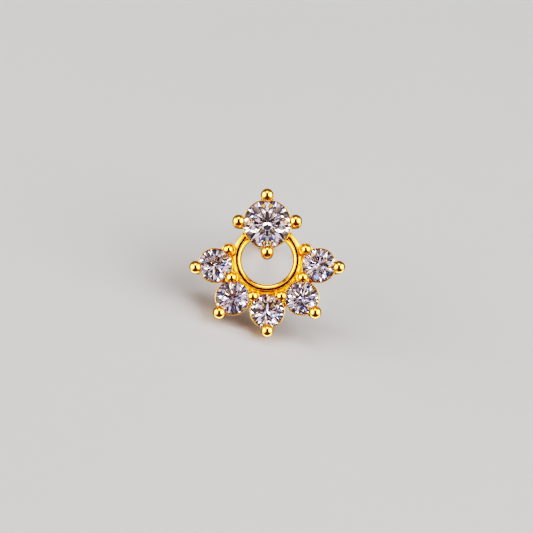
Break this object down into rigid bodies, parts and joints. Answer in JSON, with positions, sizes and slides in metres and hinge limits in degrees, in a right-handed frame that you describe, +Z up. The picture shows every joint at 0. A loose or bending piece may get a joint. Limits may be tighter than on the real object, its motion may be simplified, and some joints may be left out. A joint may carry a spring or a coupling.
{
  "type": "nose stud",
  "caption": "Yellow gold nose stud: an open ring with a large round brilliant across its top, a fan of small brilliants below in ball-tipped prongs, and a straight beaded post behind.",
  "frame": {"origin": "on the table under the middle of the stud's box, as it lies by itself on the feet of two prongs and the post's bead", "axes": "+Z up from the table, the face looks towards -Y and up, the post runs back towards +Y and down"},
  "size_m": [0.0078, 0.0104, 0.0069],
  "materials": {
    "gold": "mirror-polished yellow gold",
    "main_stone": "colourless brilliant-cut stone, polished facets",
    "fan_stone": "colourless brilliant-cut stone with a slightly cooler sparkle, polished facets"
  },
  "bodies": {
    "root": {"gold_setting": "gold", "nose_post": "gold", "main_stone": "main_stone", "fan_stone_1": "fan_stone", "fan_stone_2": "fan_stone", "fan_stone_3": "fan_stone", "fan_stone_4": "fan_stone", "fan_stone_5": "fan_stone"}
  },
  "joints": []
}
